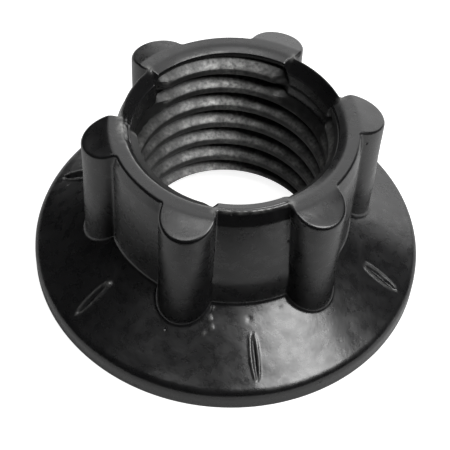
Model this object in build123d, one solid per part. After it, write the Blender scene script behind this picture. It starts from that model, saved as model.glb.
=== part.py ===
"""Flange lock nut, M16 x 2, in one forged piece, millimetres, +Z up.

The nut stands on its bearing face with its axis on Z. A conical flange carries a
round collar with six rounded ribs, which a ribbed socket drives. The collar's top
edge is swaged inwards in every other gap, so that the thread there grips the bolt.
The thread itself is left plain: the bore has the thread's major diameter.
"""
import os
from math import cos, hypot, radians, sin, tan

from build123d import *

# Thread and bore
major_diameter = 16.0
entry_chamfer_top = 0.15
entry_chamfer_bottom = 0.45

# Flange
flange_diameter = 30.8
rim_height = 1.62
rim_top_round = 0.45
rim_bottom_chamfer = 0.3
cone_angle = 31.0

# Collar and ribs
nut_height = 14.6
collar_radius = 9.36
collar_edge_chamfer = 0.25
rib_count = 6
rib_radius = 1.9
rib_centre_radius = 9.36
rib_top_slope = 18.4
rib_edge_chamfer = 0.25
base_fillet = 0.6

# Swaged crimps, one in every other gap
crimp_count = 3
crimp_half_angle = 22.0
crimp_top_radius = 8.42
crimp_knee_radius = 8.8
crimp_knee_depth = 1.05
crimp_foot_depth = 2.9

# Radial marks stamped in the cone, one below each gap
mark_inner_radius = 11.7
mark_outer_radius = 14.4
mark_width = 0.7
mark_depth = 0.3
mark_phase = -1.2

# How the nut is turned about its axis
first_rib_azimuth = 12.1

# Sizes that follow
bore_radius = major_diameter / 2
flange_radius = flange_diameter / 2
rib_pitch = 360 / rib_count
gap_azimuth = first_rib_azimuth + rib_pitch / 2
rib_tip_radius = rib_centre_radius + rib_radius
cone_rise = tan(radians(cone_angle))
standing = (Align.CENTER, Align.CENTER, Align.MIN)


def cone_height(radius):
    """Height of the flange's cone at a distance from the axis."""
    return rim_height + (flange_radius - radius) * cone_rise


def profile(points):
    """Closed outline in the XZ plane, for turning about Z."""
    return make_face(Polyline(*[(x, 0, z) for x, z in points], close=True))


def corner(face, x, z):
    """Corner of a profile nearest to a point."""
    return min(face.vertices(), key=lambda v: hypot(v.X - x, v.Z - z))


def make_flange():
    """Cone and rim, with the rim's upper edge rounded."""
    neck_height = cone_height(collar_radius)
    section = profile([
        (0, 0),
        (flange_radius, 0),
        (flange_radius, rim_height),
        (collar_radius, neck_height),
        (0, neck_height),
    ])
    section = fillet(corner(section, flange_radius, rim_height), rim_top_round)
    section = chamfer(corner(section, flange_radius, 0), rim_bottom_chamfer)
    return revolve(section, Axis.Z)


def make_collar():
    """Round collar with a chamfered top edge."""
    collar = Cylinder(collar_radius, nut_height, align=standing)
    rim = collar.edges().filter_by(GeomType.CIRCLE).sort_by(Axis.Z)[-1]
    return chamfer(rim, collar_edge_chamfer)


def make_rib():
    """One rib on the +X side: a post whose chamfered top slopes down outwards."""
    slope = radians(rib_top_slope)
    post = Pos(rib_centre_radius, 0, 0) * Cylinder(rib_radius, nut_height + rib_radius, align=standing)
    top = Plane(origin=(collar_radius, 0, nut_height), x_dir=(0, 1, 0), z_dir=(sin(slope), 0, cos(slope)))
    post = split(post, bisect_by=top, keep=Keep.BOTTOM)
    post = chamfer(post.faces().sort_by(Axis.Z)[-1].edges(), rib_edge_chamfer)
    above = Pos(0, 0, nut_height) * Cylinder(rib_tip_radius, rib_radius, align=standing)
    return post - above


def base_edges(body):
    """Edges at which the collar and the ribs stand on the cone."""
    uprights = body.faces().filter_by(GeomType.CYLINDER)
    edges = [e for face in uprights for e in face.edges() if e.geom_type != GeomType.LINE]
    return [e for e in edges if rim_height < e.center().Z < nut_height / 2]


def crimp_cutter(azimuth):
    """What one jaw of the swage takes off the collar's top edge in a gap."""
    outside = rib_tip_radius
    knee_height = nut_height - crimp_knee_depth
    foot_height = nut_height - crimp_foot_depth
    above = nut_height + 1
    lean = (crimp_knee_radius - crimp_top_radius) / crimp_knee_depth
    section = profile([
        (crimp_top_radius - lean, above),
        (crimp_knee_radius, knee_height),
        (collar_radius, foot_height),
        (outside, foot_height),
        (outside, above),
    ])
    jaw = revolve(section, Axis.Z, revolution_arc=2 * crimp_half_angle)
    return Rot(0, 0, azimuth - crimp_half_angle) * jaw


def crimped(body):
    """Body with every other gap swaged, the jaws passing between the ribs."""
    post = Cylinder(rib_radius, nut_height, align=standing)
    posts = PolarLocations(rib_centre_radius, rib_count, first_rib_azimuth) * post
    for index in range(crimp_count):
        jaw = crimp_cutter(gap_azimuth + index * 360 / crimp_count)
        body = body - (jaw - posts)
    return body


def mark_punch(azimuth):
    """Bar on its edge along the cone, which stamps one radial mark."""
    middle = (mark_inner_radius + mark_outer_radius) / 2
    length = (mark_outer_radius - mark_inner_radius) / cos(radians(cone_angle))
    edge = profile([(0, -mark_depth), (mark_width / 2, 0), (0, mark_depth), (-mark_width / 2, 0)])
    bar = extrude(edge, length / 2, both=True)
    along = Rot(0, cone_angle, 0) * Rot(0, 0, 90) * bar
    return Rot(0, 0, azimuth) * Pos(middle, 0, cone_height(middle)) * along


def marked(body):
    """Body with a stamped mark in the cone below each gap."""
    for index in range(rib_count):
        body = body - mark_punch(gap_azimuth + mark_phase + index * rib_pitch)
    return body


def bore_cutter():
    """Bore with a chamfer at each mouth."""
    return revolve(profile([
        (0, 0),
        (bore_radius + entry_chamfer_bottom, 0),
        (bore_radius, entry_chamfer_bottom),
        (bore_radius, nut_height - entry_chamfer_top),
        (bore_radius + entry_chamfer_top, nut_height),
        (0, nut_height),
    ]), Axis.Z)


def make_nut():
    """The whole nut: forged outside, then swaged, stamped and bored."""
    body = make_flange() + make_collar()
    for rib in PolarLocations(0, rib_count, first_rib_azimuth) * make_rib():
        body = body + rib
    body = fillet(base_edges(body), base_fillet)
    return marked(crimped(body)) - bore_cutter()


if __name__ == "__main__":
    os.makedirs("parts", exist_ok=True)
    nut = make_nut()
    print("nut volume", round(nut.volume, 1), "solids", len(nut.solids()))
    export_step(nut.solid(), "parts/nut_body.step")
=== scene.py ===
"""Flange lock nut with a black coating, modelled as its body and its thread.

The body is turned from its section, then forged: its round collar gets six ribs, three
swaged crimps and the stamped marks of its cone. The thread is a ridge wound up the bore.
Shapes are worked out in millimetres, and each finished mesh is scaled to metres.
"""
from math import cos, pi, radians, sin, sqrt, tan

import bpy
import numpy as np
from mathutils import Matrix, Vector


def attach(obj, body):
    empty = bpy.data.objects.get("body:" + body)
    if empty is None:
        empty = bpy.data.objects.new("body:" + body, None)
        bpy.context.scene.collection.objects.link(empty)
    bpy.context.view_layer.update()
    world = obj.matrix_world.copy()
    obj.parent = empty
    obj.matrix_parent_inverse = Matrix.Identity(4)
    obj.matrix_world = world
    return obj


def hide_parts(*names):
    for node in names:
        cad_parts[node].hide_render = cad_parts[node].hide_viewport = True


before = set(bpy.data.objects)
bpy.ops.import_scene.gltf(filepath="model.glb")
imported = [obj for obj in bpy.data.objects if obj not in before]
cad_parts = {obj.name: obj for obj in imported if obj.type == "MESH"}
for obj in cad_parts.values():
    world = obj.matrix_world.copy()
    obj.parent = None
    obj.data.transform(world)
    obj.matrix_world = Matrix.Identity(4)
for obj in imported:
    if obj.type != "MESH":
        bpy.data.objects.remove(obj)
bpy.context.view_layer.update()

MM = 0.001

# Flange
FLANGE_RADIUS = 15.4
RIM_HEIGHT = 1.62
RIM_TOP_ROUND = 0.9
RIM_BOTTOM_ROUND = 0.1
CONE_ANGLE = radians(31.0)
CONE_SLOPE = tan(CONE_ANGLE)

# Collar and ribs
NUT_HEIGHT = 14.6
COLLAR_RADIUS = 9.52
CREASE_RADIUS = 9.36
RIB_RADIUS = 2.04
RIB_CENTRE = 9.36
RIB_TOP_SLOPE = tan(radians(18.4))
FIRST_RIB = 12.1
CROWN_SHIFT = 0.06
BASE_FILLET = 0.4
CORNER_FILLET = 0.25

# Swaged crimps, in every other gap
CRIMP_TOP = 8.42
CRIMP_KNEE = 8.8
CRIMP_KNEE_Z = 13.55
CRIMP_FOOT_Z = 7.6
CRIMP_INSIDE = 7.66
CRIMP_EDGE = 8.37

# Bore and thread
BORE_RADIUS = 8.0
MOUTH_EDGE = 8.32
MOUTH_RADIUS = 7.72
MOUTH_LIP_Z = 13.9
MOUTH_ROUND = 0.06
MOUTH_SLOPE = tan(radians(26.0))
STEEP_MOUTH_SLOPE = tan(radians(54.0))
BACK_CRIMP_SLOPE = tan(radians(59.0))
FRONT_CRIMP_SLOPE = tan(radians(14.0))
CREST_RADIUS = 7.1
PITCH = 2.0
THREAD_TURNS = 9
TURN_STEPS = 144

# Columns round the nut: 96 to each rib, 48 from a rib's middle to a gap's middle
COLUMNS = 576
HALF = 48
RIB_SHARE = 22 / HALF
CORNER_SHARE = 26 / HALF


# Outline of the collar and its ribs

def outline(t, rib, collar, corner):
    """Distance, azimuth and normal's direction at share t from a rib's middle to a gap's."""
    t, rib, collar, corner = np.broadcast_arrays(t, rib, collar, corner)
    reach = collar + corner
    turn = np.arccos((reach**2 + RIB_CENTRE**2 - (rib + corner)**2) / (2 * RIB_CENTRE * reach))
    fx, fy = reach * np.cos(turn), reach * np.sin(turn)
    rib_end = np.arctan2(fy, fx - RIB_CENTRE)
    normal = np.where(
        t < RIB_SHARE, rib_end * t / RIB_SHARE,
        np.where(
            t < CORNER_SHARE,
            rib_end + (turn - rib_end) * (t - RIB_SHARE) / (CORNER_SHARE - RIB_SHARE),
            turn + (pi / 6 - turn) * (t - CORNER_SHARE) / (1 - CORNER_SHARE)))
    on_rib = t < RIB_SHARE
    in_corner = (t >= RIB_SHARE) & (t < CORNER_SHARE)
    x = np.where(on_rib, RIB_CENTRE + rib * np.cos(normal),
                 np.where(in_corner, fx - corner * np.cos(normal), collar * np.cos(normal)))
    y = np.where(on_rib, rib * np.sin(normal),
                 np.where(in_corner, fy - corner * np.sin(normal), collar * np.sin(normal)))
    return np.hypot(x, y), np.arctan2(y, x), normal


def cone_height(r):
    return RIM_HEIGHT + (FLANGE_RADIUS - r) * CONE_SLOPE


def soft_rise(x, blend):
    """x where it is above 0, and else 0, with a soft bend between."""
    return 0.5 * (x + np.sqrt(x**2 + blend**2))


def top_height(r):
    """The flat ring, falling outwards along the ribs, with a soft crease between."""
    return NUT_HEIGHT - RIB_TOP_SLOPE * soft_rise(r - CREASE_RADIUS, 0.07)


def step(x, low, high):
    """Smooth rise from 0 to 1 between two places."""
    s = np.clip((x - low) / (high - low), 0, 1)
    return s * s * (3 - 2 * s)


def swaged_radius(z, crimped):
    """The collar's radius at a height, leaning inwards where a jaw has pressed it."""
    pressed = np.interp(z, [CRIMP_FOOT_Z, CRIMP_KNEE_Z - 0.12, CRIMP_KNEE_Z + 0.12, NUT_HEIGHT],
                        [COLLAR_RADIUS, CRIMP_KNEE + 0.05, CRIMP_KNEE - 0.05, CRIMP_TOP])
    free = np.interp(z, [13.45, 13.6, 14.3],
                     [COLLAR_RADIUS, COLLAR_RADIUS - 0.02, COLLAR_RADIUS - 0.16])
    return np.where(crimped, pressed, free)


# Azimuths shared by the body's bore and rim

def bore_azimuth(t):
    return np.radians(np.interp(t, [0, RIB_SHARE, CORNER_SHARE, 1], [0, 10.6, 12.0, 30]))


def rim_azimuth(t):
    """Closer columns towards a gap's middle, where a mark is stamped."""
    return np.radians(np.interp(t, [0, 0.25, RIB_SHARE, CORNER_SHARE, 1],
                                [0, 10.0, 20.5, 23.0, 30]))


def at_front(azimuth):
    """1 at the front crimp, whose jaw has folded the ring flatter, and 0 at the other two."""
    return (np.cos(azimuth - radians(FIRST_RIB + 270)) > 0.5).astype(float)


def pressed_zone(azimuth, z, near=16.8, far=22.6):
    """1 behind a crimp and 0 between crimps, with a ragged border."""
    off = (azimuth - radians(FIRST_RIB + 30) + pi / 3) % (2 * pi / 3) - pi / 3
    ragged = 0.7 * np.sin(5 * z + 2.3 * np.cos(azimuth)) + 0.45 * np.sin(13 * z + 1.0)
    return 1 - step(np.abs(np.degrees(off)) + ragged, near, far)


def inner_radius(azimuth, z):
    """The bore's wall, pressed inwards behind each crimp."""
    depth = pressed_zone(azimuth, z) * step(z, 10.0, 11.6)
    lip = BORE_RADIUS + (MOUTH_RADIUS - BORE_RADIUS) * step(z, MOUTH_LIP_Z - 0.25, MOUTH_LIP_Z)
    return lip + (CRIMP_INSIDE - 0.08 * at_front(azimuth) - lip) * depth


def steep_side(azimuth):
    """1 at the left front, where the ring's inner shoulder is steepest, and 0 elsewhere."""
    return step(np.cos(azimuth - radians(FIRST_RIB + 212)), 0.3, 0.8)


def mouth_edge(azimuth):
    return MOUTH_EDGE - 0.14 * steep_side(azimuth)


def mouth_fall(r, azimuth):
    """How far the ring falls towards the bore: a round shoulder, or a crimp's slope."""
    zone = pressed_zone(azimuth, np.full_like(r, NUT_HEIGHT), 17.8, 21.6)
    free = soft_rise(mouth_edge(azimuth) - r, 0.16 - 0.1 * steep_side(azimuth))
    folded = soft_rise(CRIMP_EDGE - r, 0.05)
    shoulder = MOUTH_SLOPE + (STEEP_MOUTH_SLOPE - MOUTH_SLOPE) * steep_side(azimuth)
    slope = BACK_CRIMP_SLOPE + (FRONT_CRIMP_SLOPE - BACK_CRIMP_SLOPE) * at_front(azimuth)
    return (1 - zone) * shoulder * free + zone * slope * folded


# Rows of the section, from the bore's bottom mouth round to the bore's wall

UNDERSIDE = [8.45, 9.6, 11.0, 12.5, 14.0, 15.1]
RIM_LOW = np.radians([22, 45, 68, 90])
RIM_SIDE = [0.35, 0.6, 0.85, 1.05]
RIM_TOP = np.radians([12, 24, 36, 48, 59])
CONE = np.linspace(0, 1, 41)[1:]
FILLET = np.linspace(0, 1, 10)[1:]
WALL_FOOT, WALL_END = 5.646, 14.45
WALL = np.concatenate([np.linspace(WALL_FOOT, 11.1, 17)[1:], np.linspace(11.1, 12.1, 7)[1:],
                       np.linspace(12.1, 13.35, 5)[1:], np.linspace(13.35, 13.75, 5)[1:],
                       np.linspace(13.75, WALL_END, 5)[1:]])
WALL = (WALL - WALL_FOOT) / (WALL_END - WALL_FOOT)
EDGE = np.radians([15, 30, 45, 60, 75, 90])
RIB_TOP = np.array([0.14, 0.3, 0.48, 0.66, 0.82, 0.93, 1.0])
RING = np.linspace(0, 1, 16)[1:]
MOUTH = np.radians([45, 90])
BORE = [13.95, 13.65, 13.2, 12.6, 12.0, 11.4, 10.9, 10.4, 9.8, 8.5, 6.5, 4.5, 2.4, 0.45]
GROUPS = [("underside", UNDERSIDE), ("rim low", RIM_LOW), ("rim side", RIM_SIDE),
          ("rim top", RIM_TOP), ("cone", CONE[::-1]), ("fillet", FILLET[::-1]),
          ("wall", np.concatenate([[0.0], WALL])), ("edge", EDGE), ("rib top", RIB_TOP),
          ("ring", RING), ("mouth", MOUTH), ("bore", BORE)]
ROWS = sum(len(values) for _, values in GROUPS)


def section_point(group, value, t, crimped, azimuth):
    """Distance, azimuth from the rib's middle and height of one row at its columns."""
    fold = CORNER_FILLET - 0.11 * crimped
    base_r, base_a, base_n = outline(t, RIB_RADIUS, COLLAR_RADIUS, CORNER_FILLET)
    lean = -CONE_SLOPE * np.cos(base_n - base_a)
    foot = cone_height(base_r)
    middle = foot + lean * BASE_FILLET + BASE_FILLET * np.sqrt(1 + lean**2)
    # The cone's outer end and the middle of the rim's upper round
    cone_end = FLANGE_RADIUS - RIM_TOP_ROUND * (1 - sin(CONE_ANGLE))
    round_z = (cone_height(FLANGE_RADIUS - RIM_TOP_ROUND)
               - RIM_TOP_ROUND * sqrt(1 + CONE_SLOPE**2))

    def on_fillet(w):
        swing = pi + w * (np.arctan2(-1, lean) % (2 * pi) - pi)
        out = BASE_FILLET * (1 + np.cos(swing))
        r, a, _ = outline(t, RIB_RADIUS + out, COLLAR_RADIUS + out, CORNER_FILLET)
        lift = middle + BASE_FILLET * np.sin(swing) - foot - lean * out
        return r, a, cone_height(r) + lift

    # The top's outline and the round between it and the wall
    wide = np.where(t < RIB_SHARE, 1.0, 1 - step(t, RIB_SHARE, CORNER_SHARE))
    edge_round = np.where(crimped, 0.12 + 0.08 * wide, 0.3 - 0.1 * wide)
    top_collar = swaged_radius(NUT_HEIGHT - edge_round, crimped)
    rim_r, _, _ = outline(t, RIB_RADIUS, top_collar, fold)
    wall_top = top_height(rim_r) - edge_round

    if group == "underside":
        share = (value - UNDERSIDE[0]) / (UNDERSIDE[-1] - UNDERSIDE[0])
        a = bore_azimuth(t) + (rim_azimuth(t) - bore_azimuth(t)) * share
        return np.full_like(t, value), a, np.zeros_like(t)
    if group == "rim low":
        r = FLANGE_RADIUS - RIM_BOTTOM_ROUND * (1 - np.sin(value))
        z = RIM_BOTTOM_ROUND * (1 - np.cos(value))
        return np.full_like(t, r), rim_azimuth(t), np.full_like(t, z)
    if group == "rim side":
        return np.full_like(t, FLANGE_RADIUS), rim_azimuth(t), np.full_like(t, value)
    if group == "rim top":
        r = FLANGE_RADIUS - RIM_TOP_ROUND * (1 - np.cos(value))
        z = round_z + RIM_TOP_ROUND * np.sin(value)
        return np.full_like(t, r), rim_azimuth(t), np.full_like(t, z)
    if group == "cone":
        r, a, _ = on_fillet(1.0)
        a = a + (rim_azimuth(t) - a) * value
        r = r + (cone_end - r) * value * 0.985
        return r, a, cone_height(r)
    if group == "fillet":
        return on_fillet(value)
    if group == "wall":
        z = middle + value * (wall_top - middle)
        r, a, _ = outline(t, RIB_RADIUS, swaged_radius(z, crimped),
                          np.where(z > CRIMP_FOOT_Z, fold, CORNER_FILLET))
        return r, a, z
    if group == "edge":
        back = edge_round * (1 - np.cos(value))
        r, a, _ = outline(t, RIB_RADIUS - back, top_collar - back, fold + back)
        return r, a, top_height(r) - edge_round * (1 - np.sin(value))

    r0, a0, _ = outline(t, RIB_RADIUS - edge_round, top_collar - edge_round, fold + edge_round)
    crease = np.minimum(CREASE_RADIUS, r0 - 0.06)
    mouth_r = inner_radius(azimuth, NUT_HEIGHT) + MOUTH_ROUND
    mouth_z = NUT_HEIGHT - mouth_fall(mouth_r, azimuth)
    if group in ("rib top", "ring"):
        if group == "rib top":
            r = r0 + (crease - r0) * value
        else:
            r = crease + (mouth_r - crease) * value
        a = a0 + (bore_azimuth(t) - a0) * (r0 - r) / (r0 - mouth_r)
        return r, a, top_height(r) - mouth_fall(r, azimuth)
    if group == "mouth":
        r = mouth_r - MOUTH_ROUND * np.sin(value)
        return r, bore_azimuth(t), mouth_z - MOUTH_ROUND * (1 - np.cos(value))
    z = np.minimum(value, mouth_z - 0.1 - (BORE[0] - value) * 0.5)
    return inner_radius(azimuth, z), bore_azimuth(t), z


# Small forms pressed or knocked into the surface, by distance and degrees from the first rib:
# marks by gap, degrees off its middle and half width, and the others by width and height

MARKS = [(30.0, -1.0, 0.26), (90.0, -0.6, 0.28), (150.0, 0.0, 0.5), (210.0, -2.1, 0.29),
         (270.0, -0.1, 0.26), (330.0, -2.1, 0.33)]
MARK_INNER, MARK_OUTER = 11.5, 14.45
DENTS = [(8.19, 165.6, 0.2, -0.07), (7.95, 171.2, 0.25, -0.09), (8.02, 182.8, 0.22, -0.08),
         (8.33, 184.4, 0.2, -0.06), (8.8, 45.5, 0.3, -0.12), (9.2, 47.0, 0.22, -0.1)]
SPECKS = [(9.85, 253.6, 0.13, 0.1), (10.54, 253.5, 0.12, 0.09), (11.1, 254.7, 0.12, 0.08),
          (11.54, 252.0, 0.1, 0.06), (11.55, 208.6, 0.17, 0.14), (10.5, 269.4, 0.17, -0.05),
          (10.28, 283.6, 0.12, -0.05)]


def across_from(r, azimuth, turn):
    """Distance round the nut from the line that lies at a turn from the first rib."""
    return r * ((azimuth - radians(FIRST_RIB + turn) + pi) % (2 * pi) - pi)


def mark_places(r, azimuth):
    """For each mark, the distance across it, its half width there and the share along it."""
    for gap, off, half_width in MARKS:
        across = across_from(r, azimuth, gap + off)
        along = (r - (MARK_INNER + MARK_OUTER) / 2) / (MARK_OUTER - MARK_INNER) * 2
        yield across, half_width * np.sqrt(np.clip(1 - along**2, 0, 1)), np.abs(along)


def stamped(r, azimuth):
    """Height that the chisel marks add to the cone: a slit between two raised lips."""
    height = np.zeros_like(r)
    for across, half, along in mark_places(r, azimuth):
        inside = 1 - step(along, 0.9, 1.08)
        lips = 0.11 * line_at(np.abs(across), half, 0.1)
        hollow = -0.08 * np.clip(1 - (across / (half + 0.01))**2, 0, 1)
        slit = -0.13 * line_at(across, 0, 0.07)
        height += inside * (lips + hollow + slit)
    return height


def bells(spots, r, azimuth):
    """For each spot, its bell shape and its height, below 0 for a pit or a dent."""
    for place, turn, size, height in spots:
        across = across_from(r, azimuth, turn)
        yield np.exp(-((r - place)**2 + across**2) / size**2), height


def line_at(x, place, width):
    """Bell shape of a distance or a turn, 1 at its place."""
    return np.exp(-((x - place) / width)**2)


def dented(r, azimuth):
    """Knocks on the top ring, and a crack in its lip where it has torn beside a crimp."""
    height = sum(bell * depth for bell, depth in bells(DENTS, r, azimuth))
    turn = np.degrees(azimuth) % 360 - FIRST_RIB
    crack = 8.12 + 0.05 * np.sin(np.radians(turn) * 40)
    cracked = step(turn, 163, 167) * (1 - step(turn, 181, 187))
    return height - 0.16 * cracked * line_at(r, crack, 0.08)


def burr_groove(r, azimuth):
    """Depth of the groove inside the front crimp's burr, and of the burr's ragged top."""
    zone = pressed_zone(azimuth, np.full_like(r, NUT_HEIGHT), 16.0, 18.5) * at_front(azimuth)
    ragged = 0.5 + 0.3 * np.sin(azimuth * 97) + 0.2 * np.sin(azimuth * 211 + 1)
    return zone * (0.09 * line_at(r, 8.2, 0.06) + 0.06 * ragged * line_at(r, 8.42, 0.06))


def wear_and_glint_places(names, r, azimuth, z):
    """Where the coat is rubbed through, and where glints and highlights are painted as bare steel,
    from 0 to 1: lips, burrs, the ring's inner edge and raised specks.
    """
    turn = (np.degrees(azimuth) - FIRST_RIB) % 360
    top = (z > NUT_HEIGHT - 0.3) & (r < 9.3)
    patchy = 0.5 + 0.5 * np.sin(np.radians(turn) * 37 + 2 * np.sin(np.radians(turn) * 11))
    # Partly painted glint: the ring's inner edge is laid bare only at the left front, where it
    # glints
    left_front = step(turn, 165, 190) * (1 - step(turn, 250, 262))
    ring_edge = line_at(r, mouth_edge(azimuth), 0.045) * left_front * (0.55 + 0.45 * patchy)
    # Painted reflection: the mouth's edge at the back is laid bare where the key light reflects in
    # it
    back = step(turn, 78, 88) * (1 - step(turn, 108, 122))
    back_edge_highlight = 0.6 * line_at(r, MOUTH_RADIUS + 0.1, 0.08) * back
    # Partly painted highlight: the crimps' burrs are laid bare, most at the front crimp
    zone = pressed_zone(azimuth, np.full_like(r, NUT_HEIGHT), 17.5, 19.5)
    strength = (0.25 + 0.75 * patchy) * (0.35 + 0.65 * at_front(azimuth))
    burr = zone * line_at(r, 8.4, 0.07) * strength
    off_crimp = np.abs((turn + 30) % 120 - 60)
    corners = 0.7 * line_at(off_crimp, 19.0, 1.6) * line_at(r, 8.5, 0.3)
    torn = line_at(turn, 177, 7) * line_at(r, 8.3, 0.35) * (0.4 + 0.6 * patchy)
    bare_and_glint = top * np.maximum.reduce([ring_edge, back_edge_highlight, burr, corners, torn])
    on_cone = names == "cone"
    # Partly painted glints: the marks' lips are laid half bare
    for across, half, along in mark_places(r, azimuth):
        line = (1 - step(along, 0.95, 1.1)) * line_at(np.abs(across), half, 0.06)
        bare_and_glint = np.maximum(bare_and_glint, on_cone * 0.5 * line)
    # Painted glints: each raised speck on the cone is laid wholly bare
    for bell, height in bells(SPECKS, r, azimuth):
        bare_and_glint = np.maximum(bare_and_glint, on_cone * bell * (height > 0))
    return np.clip(bare_and_glint, 0, 1)


def waves(x, y, z, long):
    """Gentle unevenness of a hot forged surface, between -1 and 1."""
    k = 2 * pi / long
    return (np.sin(k * (x + 0.6 * y) + 1.3 * np.sin(0.7 * k * z + 0.4)) +
            np.sin(k * (0.8 * y - 0.5 * x) + 1.1 * np.sin(0.8 * k * x + 1.9)) +
            np.sin(k * (0.9 * z + 0.3 * x) + 0.9 * np.sin(0.6 * k * y + 2.7))) / 3


# Mesh helpers

def pick_nothing():
    if bpy.context.object and bpy.context.object.mode != "OBJECT":
        bpy.ops.object.mode_set(mode="OBJECT")
    bpy.ops.object.select_all(action="DESELECT")


def settle(piece):
    """Leaves edit mode with doubles merged and normals outwards."""
    bpy.ops.mesh.select_all(action="SELECT")
    bpy.ops.mesh.remove_doubles(threshold=1e-4)
    bpy.ops.mesh.normals_make_consistent(inside=False)
    bpy.ops.object.mode_set(mode="OBJECT")
    bpy.ops.object.shade_smooth()
    return piece


def mesh_points(piece):
    points = np.empty(len(piece.data.vertices) * 3)
    piece.data.vertices.foreach_get("co", points)
    return points.reshape(-1, 3)


def keep_wear_and_glints(piece, bare_and_glint):
    """Keeps the rubbed places and the painted glints as an attribute that the coating reads."""
    layer = piece.data.attributes.new("worn_and_glints", "FLOAT", "POINT")
    layer.data.foreach_set("value", np.ascontiguousarray(bare_and_glint, dtype=np.float32))


def set_points(piece, points):
    piece.data.vertices.foreach_set("co", np.ascontiguousarray(points, dtype=np.float64).ravel())
    piece.data.update()


# The body

TUBE_CENTRE, TUBE_Z, TUBE_RADIUS = 12, 8, 4


def turned_ring():
    """A plain ring of the body's rows and columns: a circle spun about the axis."""
    pick_nothing()
    bpy.ops.mesh.primitive_circle_add(vertices=ROWS, radius=TUBE_RADIUS,
                                      location=(TUBE_CENTRE, 0, TUBE_Z), rotation=(pi / 2, 0, 0))
    ring = bpy.context.object
    bpy.ops.object.transform_apply(location=True, rotation=True, scale=True)
    bpy.ops.object.mode_set(mode="EDIT")
    bpy.ops.mesh.select_all(action="SELECT")
    bpy.ops.mesh.spin(steps=COLUMNS, angle=2 * pi, center=(0, 0, 0), axis=(0, 0, 1))
    return settle(ring)


def forge_body():
    """The ring's columns and rows, pressed to the section of the nut at each azimuth."""
    nut = turned_ring()
    points = mesh_points(nut)
    turn = np.arctan2(points[:, 1], points[:, 0])
    column = np.rint(turn / (2 * pi) * COLUMNS).astype(int) % COLUMNS
    from_axis = np.hypot(points[:, 0], points[:, 1])
    round_tube = np.arctan2(points[:, 2] - TUBE_Z, from_axis - TUBE_CENTRE)
    row = np.rint((round_tube / (2 * pi) - 0.25) * ROWS).astype(int) % ROWS

    rib = ((column + HALF) // (2 * HALF)) % 6
    off = (column + HALF) % (2 * HALF) - HALF
    t = np.abs(off) / HALF
    side = np.where(off < 0, -1, 1)
    gap = np.where(off < 0, rib - 1, rib) % 6
    crimped = (gap % 2 == 0).astype(float)
    start = radians(FIRST_RIB) + rib * pi / 3
    bore_turn = start + side * bore_azimuth(t)

    r, a, z = np.zeros_like(t), np.zeros_like(t), np.zeros_like(t)
    names = np.empty(len(t), dtype=object)
    index = 0
    for group, values in GROUPS:
        for value in values:
            here = row == index
            r[here], a[here], z[here] = section_point(
                group, value, t[here], crimped[here], bore_turn[here])
            names[here] = group
            index += 1
    azimuth = start + side * a

    on_cone = (names == "cone") | (names == "rim top")
    z[on_cone] += stamped(r[on_cone], azimuth[on_cone])
    specks = bells(SPECKS, r[on_cone], azimuth[on_cone])
    z[on_cone] += sum(bell * height for bell, height in specks)
    on_top = (names == "edge") | (names == "rib top") | (names == "ring") | (names == "mouth")
    z[on_top] += dented(r[on_top], azimuth[on_top])
    # The swage leaves a fine groove inside each crimp's burr
    z[on_top] -= burr_groove(r[on_top], azimuth[on_top])
    # Forging leaves the sides and the cone a little uneven, below their true faces only
    x, y = r * np.cos(azimuth), r * np.sin(azimuth)
    sides = step(r, 8.7, 9.4) * (1 - step(r, 14.4, 15.2))
    slopes = step(r, 9.3, 10.4) * (1 - step(r, 15.1, 15.4)) * step(z, 0.5, 1.5)
    uneven = 0.75 * waves(x, y, z, 7.3) + 0.25 * waves(y, z, x, 2.3)
    r = r - 0.035 * (1 - waves(y, x, z, 6.1)) * sides
    z = z - 0.05 * (1 - uneven) * slopes
    x = r * np.cos(azimuth) + CROWN_SHIFT * step(z, 3.0, 6.5) * (r > 7)
    y = r * np.sin(azimuth)
    bare_and_glint = wear_and_glint_places(names, r, azimuth, z)
    set_points(nut, np.stack([x, y, z], axis=1) * MM)
    bpy.ops.object.mode_set(mode="EDIT")
    bpy.ops.mesh.select_all(action="SELECT")
    bpy.ops.mesh.normals_make_consistent(inside=False)
    bpy.ops.object.mode_set(mode="OBJECT")
    keep_wear_and_glints(nut, bare_and_glint)
    nut.name = nut.data.name = "nut"
    return nut


# The thread

RIDGE = [(8.08, -0.905), (7.25, -0.39), (7.13, -0.27), (7.1, -0.1), (7.1, 0.1), (7.13, 0.27),
         (7.25, 0.39), (8.08, 0.905)]
FIRST_CREST_Z = 12.84
CREST_AZIMUTH = 90.0


def wound_ridge():
    """The thread's ridge, wound from below the nut to above it."""
    pick_nothing()
    bpy.ops.mesh.primitive_circle_add(vertices=len(RIDGE), radius=1, location=(0, 0, 0))
    ridge = bpy.context.object
    low = FIRST_CREST_Z - PITCH * CREST_AZIMUTH / 360 - (THREAD_TURNS - 2) * PITCH
    set_points(ridge, np.array([(r, 0, low + z) for r, z in RIDGE]))
    winding = ridge.modifiers.new("winding", "SCREW")
    winding.angle = 2 * pi * THREAD_TURNS
    winding.steps = winding.render_steps = TURN_STEPS * THREAD_TURNS
    winding.screw_offset = PITCH * THREAD_TURNS
    winding.use_smooth_shade = True
    bpy.ops.object.modifier_apply(modifier="winding")
    bpy.ops.object.mode_set(mode="EDIT")
    bpy.ops.mesh.select_all(action="DESELECT")
    bpy.ops.mesh.select_mode(type="EDGE")
    bpy.ops.mesh.select_non_manifold(extend=False)
    bpy.ops.mesh.edge_face_add()
    return settle(ridge)


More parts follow.
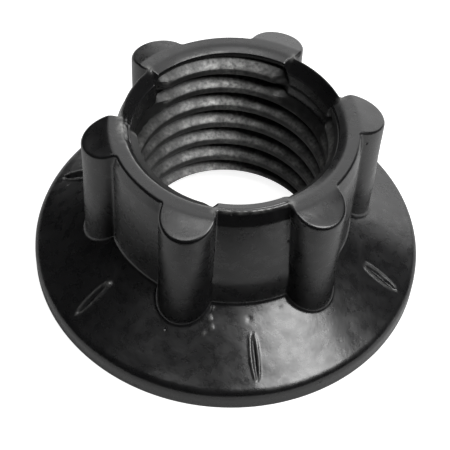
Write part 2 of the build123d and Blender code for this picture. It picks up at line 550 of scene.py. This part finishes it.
def flatten_behind_crimps(ridge):
    """The swage presses the thread's crests flat behind each crimp."""
    points = mesh_points(ridge)
    r = np.hypot(points[:, 0], points[:, 1])
    azimuth = np.arctan2(points[:, 1], points[:, 0])
    z = points[:, 2]
    pressed = pressed_zone(azimuth, z, 16.5, 27.0) * step(z, 9.7, 12.0)
    flat = CRIMP_INSIDE + 0.02 + 0.04 * waves(points[:, 0], points[:, 1], z, 1.3)
    # Near the mouth the crests are pushed right into the body
    flat = flat + 0.45 * step(z, 12.4, 13.1)
    torn = 0.06 * np.sin(azimuth * 90 + 3 * z) * line_at(pressed, 0.45, 0.25)
    target = CREST_RADIUS + (flat - CREST_RADIUS) * pressed + torn
    new = np.where(r < BORE_RADIUS + 0.02, np.maximum(r, target), r)
    points[:, :2] *= (new / r)[:, None]
    set_points(ridge, points)


def turned_core():
    """The space that the thread may fill, with a countersink at each mouth."""
    pick_nothing()
    mouth_z = MOUTH_LIP_Z + 0.1
    section = [(0.0, 1.6), (6.85, 1.6), (8.0, 0.45), (8.06, 0.45), (8.06, mouth_z), (7.7, mouth_z),
               (6.8, mouth_z - 0.7), (0.0, mouth_z - 0.7)]
    bpy.ops.mesh.primitive_circle_add(vertices=len(section), radius=1)
    core = bpy.context.object
    set_points(core, np.array([(r, 0, z) for r, z in section]))
    bpy.ops.object.mode_set(mode="EDIT")
    bpy.ops.mesh.select_all(action="SELECT")
    bpy.ops.mesh.spin(steps=TURN_STEPS, angle=2 * pi, center=(0, 0, 0), axis=(0, 0, 1))
    return settle(core)


def cut_thread():
    """The wound ridge, flattened behind the crimps and trimmed at the nut's mouths."""
    ridge = wound_ridge()
    flatten_behind_crimps(ridge)
    core = turned_core()
    pick_nothing()
    ridge.select_set(True)
    bpy.context.view_layer.objects.active = ridge
    trim = ridge.modifiers.new("trim", "BOOLEAN")
    trim.operation = "INTERSECT"
    trim.solver = "EXACT"
    trim.object = core
    bpy.ops.object.modifier_apply(modifier="trim")
    bpy.data.objects.remove(core, do_unlink=True)
    points = mesh_points(ridge)
    r = np.hypot(points[:, 0], points[:, 1])
    azimuth = np.arctan2(points[:, 1], points[:, 0])
    crest_patches = 0.5 + 0.5 * np.sin(azimuth * 23 + points[:, 2] * 3)
    # Painted highlight: bare steel laid most at the back, where the thread's highlight falls, and
    # painted glints along the crests all round; the crests are also rubbed
    back = line_at(np.degrees(azimuth), 92, 17)
    patchy = 0.6 + 0.4 * waves(points[:, 0], points[:, 1], points[:, 2], 1.1)
    crest_z = FIRST_CREST_Z + PITCH * (np.degrees(azimuth) - CREST_AZIMUTH) / 360
    above_crest = (points[:, 2] - crest_z + PITCH / 2) % PITCH - PITCH / 2
    # Painted glint: the crests' upper edges are laid barer than their lower ones
    upper = 0.2 + 0.8 * (above_crest > 0.15)
    crests = line_at(r, 7.2, 0.09) * upper * (0.5 + 0.5 * crest_patches)
    keep_wear_and_glints(ridge, np.clip(crests + 0.8 * back * patchy, 0, 1))
    set_points(ridge, points * MM)
    bpy.ops.object.shade_smooth_by_angle(angle=radians(35))
    ridge.name = ridge.data.name = "thread"
    return ridge


# Finishes

def colour(hex_code):
    """Linear colour of an sRGB hex code."""
    value = []
    for place in (0, 2, 4):
        c = int(hex_code[place:place + 2], 16) / 255
        value.append(c / 12.92 if c <= 0.04045 else ((c + 0.055) / 1.055)**2.4)
    return (*value, 1.0)


def add_node(tree, kind, links=None, **settings):
    """A node with its settings, its sockets' values and what they are linked to."""
    node = tree.nodes.new(kind)
    for name, value in settings.items():
        setattr(node, name, value)
    for socket, value in (links or {}).items():
        if isinstance(value, bpy.types.NodeSocket):
            tree.links.new(value, node.inputs[socket])
        else:
            node.inputs[socket].default_value = value
    return node


def black_coating(name, scuff, shine):
    """Thin black anti-corrosion coating over forged steel, glossy, with a faint orange peel.

    Scuff is how far a tap has roughened it, with more grain and a greyer tone, and shine
    is its index of refraction: less where it is thin.
    """
    made = bpy.data.materials.new(name)
    made.use_nodes = True
    tree = made.node_tree
    shader = tree.nodes["Principled BSDF"]
    place = add_node(tree, "ShaderNodeTexCoord").outputs["Object"]
    # Patches three millimetres across, where the coat is a little thicker or thinner
    patches = add_node(tree, "ShaderNodeTexNoise", {
        "Vector": place, "Scale": 330.0, "Detail": 3.0})
    tone = add_node(tree, "ShaderNodeValToRGB", {"Fac": patches.outputs["Fac"]})
    tone.color_ramp.elements[0].position = 0.35
    tone.color_ramp.elements[1].position = 0.7
    tone.color_ramp.elements[0].color = colour("1a1a1a" if scuff else "121213")
    tone.color_ramp.elements[1].color = colour("2a2a2a" if scuff else "19191a")
    # Bare steel where the coat is rubbed through, and painted glints and highlights laid as the
    # same bare steel, broken up by fine grain
    grain = add_node(tree, "ShaderNodeTexNoise", {"Vector": place, "Scale": 3600.0, "Detail": 4.0})
    worn_and_glints = add_node(tree, "ShaderNodeAttribute", attribute_name="worn_and_glints").outputs["Fac"]
    ragged = add_node(tree, "ShaderNodeMath", {0: grain.outputs["Fac"], 1: 1.6, 2: -0.3},
                      operation="MULTIPLY_ADD")
    bare_and_glint = add_node(tree, "ShaderNodeMath", {0: worn_and_glints, 1: ragged.outputs[0]},
                    operation="MULTIPLY", use_clamp=True)
    steel = add_node(tree, "ShaderNodeMixRGB", {
        "Fac": bare_and_glint.outputs[0], "Color1": tone.outputs["Color"], "Color2": colour("a8a8a6")})
    tree.links.new(steel.outputs["Color"], shader.inputs["Base Color"])
    tree.links.new(bare_and_glint.outputs[0], shader.inputs["Metallic"])
    # Gloss in cloudy patches a millimetre across and fine grain a quarter across
    cloud = add_node(tree, "ShaderNodeTexNoise", {
        "Vector": place, "Scale": 1200.0, "Detail": 3.0, "Roughness": 0.5})
    gloss = add_node(tree, "ShaderNodeMapRange", {
        "Value": cloud.outputs["Fac"], "From Min": 0.3, "From Max": 0.7,
        "To Min": 0.24 + 0.11 * scuff, "To Max": 0.33 + 0.11 * scuff})
    tree.links.new(gloss.outputs["Result"], shader.inputs["Roughness"])
    # Orange peel just under a millimetre across, and the grain on it
    swell = add_node(tree, "ShaderNodeBump", {
        "Height": cloud.outputs["Fac"], "Strength": 0.5, "Distance": 0.025 * MM})
    # Sparse pits a quarter of a millimetre wide
    cells = add_node(tree, "ShaderNodeTexVoronoi", {"Vector": place, "Scale": 420.0})
    pit = add_node(tree, "ShaderNodeMapRange", {
        "Value": cells.outputs["Distance"], "From Min": 0.03, "From Max": 0.07},
        interpolation_type="SMOOTHSTEP")
    pitted = add_node(tree, "ShaderNodeBump", {
        "Height": pit.outputs["Result"], "Strength": 1.0, "Distance": 0.06 * MM,
        "Normal": swell.outputs["Normal"]})
    fine = add_node(tree, "ShaderNodeBump", {
        "Height": grain.outputs["Fac"], "Strength": 0.4 + 0.4 * scuff,
        "Distance": 0.015 * MM, "Normal": pitted.outputs["Normal"]})
    tree.links.new(fine.outputs["Normal"], shader.inputs["Normal"])
    shader.inputs["IOR"].default_value = shine
    return made


def dress(piece, finish):
    piece.data.materials.clear()
    piece.data.materials.append(finish)
    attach(piece, "root")
    return piece


# The studio

def studio_floor():
    """Sheet of pale paper, white to the camera and bright in reflections, with a soft shadow, and
    a painted shadow round the nut in its reflected glow.
    """
    pick_nothing()
    bpy.ops.mesh.primitive_grid_add(x_subdivisions=8, y_subdivisions=8, size=0.8,
                                    location=(0, 0.3765, 0))
    floor = bpy.context.object
    bpy.ops.object.transform_apply(location=True, rotation=True, scale=True)
    floor.name = floor.data.name = "floor"
    made = bpy.data.materials.new("pale paper floor")
    made.use_nodes = True
    tree = made.node_tree
    tree.nodes.remove(tree.nodes["Principled BSDF"])
    out = tree.nodes["Material Output"]
    ray = add_node(tree, "ShaderNodeLightPath")
    # Painted shadow: in reflections the paper's glow is nothing near a point just left of the nut
    # and rises to 0.75 further out
    place = add_node(tree, "ShaderNodeTexCoord").outputs["Object"]
    away = add_node(tree, "ShaderNodeVectorMath", {0: place, 1: (-0.009, 0.002, 0)},
                    operation="DISTANCE")
    painted_shadow_fade = add_node(tree, "ShaderNodeMapRange", {
        "Value": away.outputs["Value"], "From Min": 0.02, "From Max": 0.07,
        "To Min": 0.0, "To Max": 0.75})
    mirrored = add_node(tree, "ShaderNodeMath", {
        0: ray.outputs["Is Glossy Ray"], 1: ray.outputs["Is Transmission Ray"]}, operation="ADD")
    mirrored = add_node(tree, "ShaderNodeMath", {0: mirrored.outputs[0], 1: painted_shadow_fade.outputs[0]},
                        operation="MULTIPLY")
    level = add_node(tree, "ShaderNodeMath", {
        0: ray.outputs["Is Camera Ray"], 1: 0.9, 2: mirrored.outputs[0]}, operation="MULTIPLY_ADD")
    paper = add_node(tree, "ShaderNodeBsdfDiffuse", {"Color": colour("c8c8c8")})
    glow = add_node(tree, "ShaderNodeEmission", {
        "Color": colour("ffffff"), "Strength": level.outputs[0]})
    both = add_node(tree, "ShaderNodeAddShader", {0: paper.outputs[0], 1: glow.outputs[0]})
    tree.links.new(both.outputs[0], out.inputs["Surface"])
    floor.data.materials.append(made)


def hung_lamp(name, shape, radiance, middle, size, facing=(0, 0, -1)):
    """Soft lamp of even radiance, its middle and size in metres."""
    lamp = bpy.data.lights.new(name, "AREA")
    lamp.shape = shape
    lamp.size, lamp.size_y = size
    area = size[0] * size[1] * (pi / 4 if shape == "ELLIPSE" else 1.0)
    lamp.energy = radiance * pi * area
    holder = bpy.data.objects.new(name, lamp)
    bpy.context.collection.objects.link(holder)
    holder.location = middle
    holder.rotation_euler = Vector(facing).to_track_quat("-Z", "Y").to_euler()


def studio_light():
    """A round key at the right front, a broad softbox and a small strip above, a panel behind."""
    world = bpy.data.worlds.new("studio")
    bpy.context.scene.world = world
    world.use_nodes = True
    tree = world.node_tree
    back = tree.nodes["Background"]
    ray = add_node(tree, "ShaderNodeLightPath")
    level = add_node(tree, "ShaderNodeMapRange", {
        "Value": ray.outputs["Is Camera Ray"], "To Min": 0.006, "To Max": 1.0})
    back.inputs["Color"].default_value = colour("ffffff")
    tree.links.new(level.outputs["Result"], back.inputs["Strength"])
    hung_lamp("key", "ELLIPSE", 8.9, (0.19, -0.104, 0.3), (0.218, 0.182))
    hung_lamp("softbox", "RECTANGLE", 0.95, (0.015, 0.105, 0.31), (0.39, 0.41))
    hung_lamp("front strip", "RECTANGLE", 2.6, (-0.02, -0.05, 0.3), (0.15, 0.09))
    hung_lamp("back panel", "RECTANGLE", 1.6, (0.17, 0.37, 0.21), (0.54, 0.36), (0, -1, 0))


# The camera's place, in flange radii, and its lens, in pixels of the picture

PITCH_UP, ROLL = radians(50.8956), radians(3.9051)
DISTANCE, DROP, AIM_Z = 7.0253, 0.112, 0.35
PICTURE_SIZE, FOCAL_LENGTH = 450, 1375.0
LENS_CENTRE = (228.84, 225.7)


def studio_camera():
    """Camera at the photograph's place: 51 degrees up, slightly rolled."""
    back = Vector((0, -cos(PITCH_UP), sin(PITCH_UP)))
    across = Vector((1, 0, 0))
    upright = back.cross(across)
    right = across * cos(ROLL) + upright * sin(ROLL)
    up = upright * cos(ROLL) - across * sin(ROLL)
    unit = FLANGE_RADIUS * MM
    lens = bpy.data.cameras.new("camera")
    lens.sensor_width = 36
    lens.lens = lens.sensor_width * FOCAL_LENGTH / PICTURE_SIZE
    lens.shift_x = (PICTURE_SIZE / 2 - LENS_CENTRE[0]) / PICTURE_SIZE
    lens.shift_y = (LENS_CENTRE[1] - PICTURE_SIZE / 2) / PICTURE_SIZE
    lens.clip_start = 0.005
    camera = bpy.data.objects.new("camera", lens)
    bpy.context.collection.objects.link(camera)
    spot = Vector((0, 0, AIM_Z * unit)) + back * (DISTANCE * unit) - up * (DROP * unit)
    turn = Matrix((right, up, back)).transposed().to_4x4()
    camera.matrix_world = Matrix.Translation(spot) @ turn
    bpy.context.scene.camera = camera


nut = dress(forge_body(), black_coating("black coating", 0.0, 1.7))
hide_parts("nut_body")
thread = dress(cut_thread(), black_coating("black coating tapped", 1.0, 1.5))
studio_floor()
studio_light()
studio_camera()
bpy.context.scene.view_settings.view_transform = "Standard"
